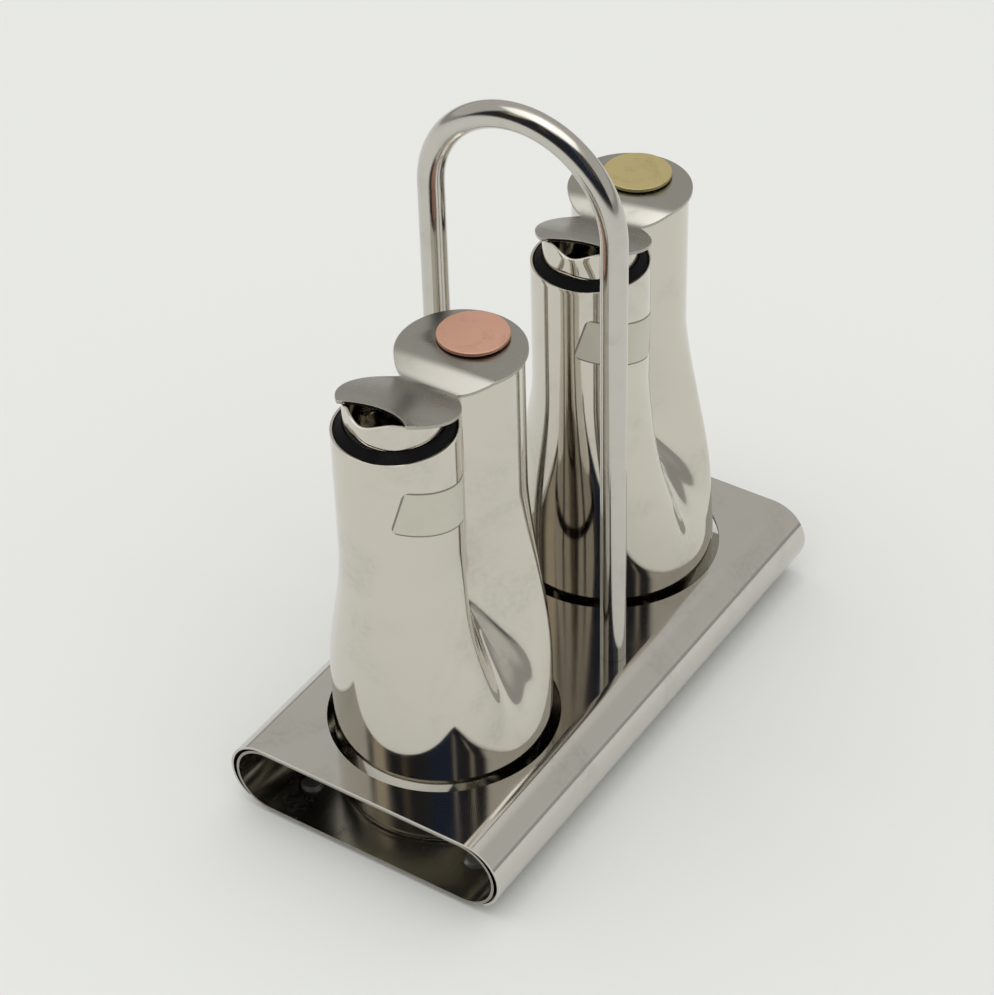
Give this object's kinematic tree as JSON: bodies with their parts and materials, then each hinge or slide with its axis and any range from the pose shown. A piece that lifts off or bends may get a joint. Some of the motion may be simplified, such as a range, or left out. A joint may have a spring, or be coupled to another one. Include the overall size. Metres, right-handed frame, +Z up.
{
  "type": "oil and vinegar cruet set",
  "caption": "Steel cruets with twin tubes and bent lids, standing in round holes of a flattened tube tray with a hoop handle.",
  "frame": {"origin": "on the table under the middle of the tray", "axes": "+X along the tray away from the end that the spouts face, +Y across it, +Z up"},
  "size_m": [0.184, 0.097, 0.2116],
  "materials": {
    "tray_steel": "polished stainless steel sheet",
    "cruet_steel": "mirror polished stainless steel",
    "rod_steel": "polished stainless steel rod",
    "lid_steel": "satin stainless steel sheet",
    "fixing_steel": "plain steel",
    "copper_cap": "matt copper",
    "brass_cap": "matt brass",
    "black_rubber": "black rubber",
    "foot_plastic": "light grey plastic"
  },
  "bodies": {
    "tray": {"tray_tube": "tray_steel", "tray_cover": "tray_steel", "feet": "foot_plastic", "foot_rivets": "fixing_steel", "handle_hoop": "rod_steel", "handle_washers": "fixing_steel", "handle_screws": "fixing_steel"},
    "near_cruet_foot": {"near_cruet_base": "cruet_steel"},
    "near_cruet": {"near_cruet_body": "cruet_steel", "near_lid_plate": "lid_steel", "near_pouring_cup": "cruet_steel", "near_cup_collar": "black_rubber"},
    "near_stopper": {"near_stopper_plug": "black_rubber", "near_copper_cap": "copper_cap"},
    "far_cruet_foot": {"far_cruet_base": "cruet_steel"},
    "far_cruet": {"far_cruet_body": "cruet_steel", "far_lid_plate": "lid_steel", "far_pouring_cup": "cruet_steel", "far_cup_collar": "black_rubber"},
    "far_stopper": {"far_stopper_plug": "black_rubber", "far_brass_cap": "brass_cap"}
  },
  "joints": [
    {"name": "near_cruet_lift", "type": "slide", "parent": "tray", "child": "near_cruet_foot", "axis": [0, 0, 1], "range_m": [0, 0.06]},
    {"name": "near_cruet_turn", "type": "hinge", "parent": "near_cruet_foot", "child": "near_cruet", "pos_m": [-0.048, 0, 0.0024], "axis": [0, 0, 1], "continuous": true},
    {"name": "near_stopper_pull", "type": "slide", "parent": "near_cruet", "child": "near_stopper", "axis": [0, 0, 1], "range_m": [0, 0.025]},
    {"name": "far_cruet_lift", "type": "slide", "parent": "tray", "child": "far_cruet_foot", "axis": [0, 0, 1], "range_m": [0, 0.06]},
    {"name": "far_cruet_turn", "type": "hinge", "parent": "far_cruet_foot", "child": "far_cruet", "pos_m": [0.048, 0, 0.0024], "axis": [0, 0, 1], "continuous": true},
    {"name": "far_stopper_pull", "type": "slide", "parent": "far_cruet", "child": "far_stopper", "axis": [0, 0, 1], "range_m": [0, 0.025]}
  ]
}
